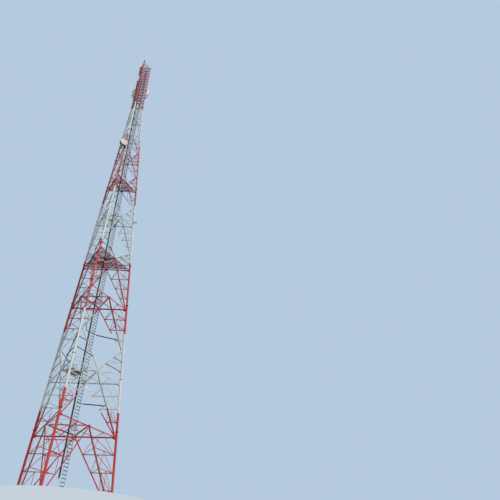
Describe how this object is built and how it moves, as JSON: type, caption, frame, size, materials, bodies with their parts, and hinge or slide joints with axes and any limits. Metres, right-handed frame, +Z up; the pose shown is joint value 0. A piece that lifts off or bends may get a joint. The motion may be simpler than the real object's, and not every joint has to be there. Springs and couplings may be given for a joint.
{
  "type": "scale model (1:2) of a three-legged lattice cell tower",
  "caption": "Half-size model of a self-supporting triangular lattice tower with tubular legs, diamond bracing, ladder, two platforms, a microwave dish and panel antennas.",
  "frame": {"origin": "centre of the near leg's base plate, on its underside", "axes": "+Z up; +Y from the near leg towards the middle of the face opposite it; +X towards the right leg's side"},
  "size_m": [4.5, 3.9479, 30],
  "materials": {
    "painted_steel": "gloss paint in signal red and white bands, weathered",
    "white_shell": "matt pale shell",
    "galvanised_steel": "dull galvanised, dusty",
    "black_jacket": "matt cable jacket",
    "dark_housing": "matt dark grey"
  },
  "bodies": {
    "root": {"near_leg_lower": "painted_steel", "near_leg_middle": "painted_steel", "near_leg_upper": "painted_steel", "left_leg_lower": "painted_steel", "left_leg_middle": "painted_steel", "left_leg_upper": "painted_steel", "right_leg_lower": "painted_steel", "right_leg_middle": "painted_steel", "right_leg_upper": "painted_steel", "back_base_panel": "painted_steel", "back_rest_panel": "painted_steel", "back_diamond_panel": "painted_steel", "back_middle_panel": "painted_steel", "back_upper_panel": "painted_steel", "back_top_panel": "painted_steel", "left_base_panel": "painted_steel", "left_rest_panel": "painted_steel", "left_diamond_panel": "painted_steel", "left_middle_panel": "painted_steel", "left_upper_panel": "painted_steel", "left_top_panel": "painted_steel", "right_base_panel": "painted_steel", "right_rest_panel": "painted_steel", "right_diamond_panel": "painted_steel", "right_middle_panel": "painted_steel", "right_upper_panel": "painted_steel", "right_top_panel": "painted_steel", "near_corner_ties": "painted_steel", "left_corner_ties": "painted_steel", "right_corner_ties": "painted_steel", "ladder_struts": "galvanised_steel", "base_plan_frame": "painted_steel", "rest_plan_frame": "painted_steel", "waist_plan_frame": "painted_steel", "upper_plan_frames": "painted_steel", "middle_platform": "painted_steel", "upper_platform": "painted_steel", "rest_platform": "painted_steel", "lower_ladder": "galvanised_steel", "middle_ladder": "galvanised_steel", "upper_ladder": "galvanised_steel", "lower_cable_ladder": "galvanised_steel", "upper_cable_ladder": "galvanised_steel", "feeder_cables": "black_jacket", "dish": "white_shell", "dish_mount": "galvanised_steel", "near_panel_antenna": "white_shell", "left_panel_antenna": "white_shell", "right_panel_antenna": "white_shell", "antenna_arms": "galvanised_steel", "radio_units": "dark_housing"}
  },
  "joints": []
}
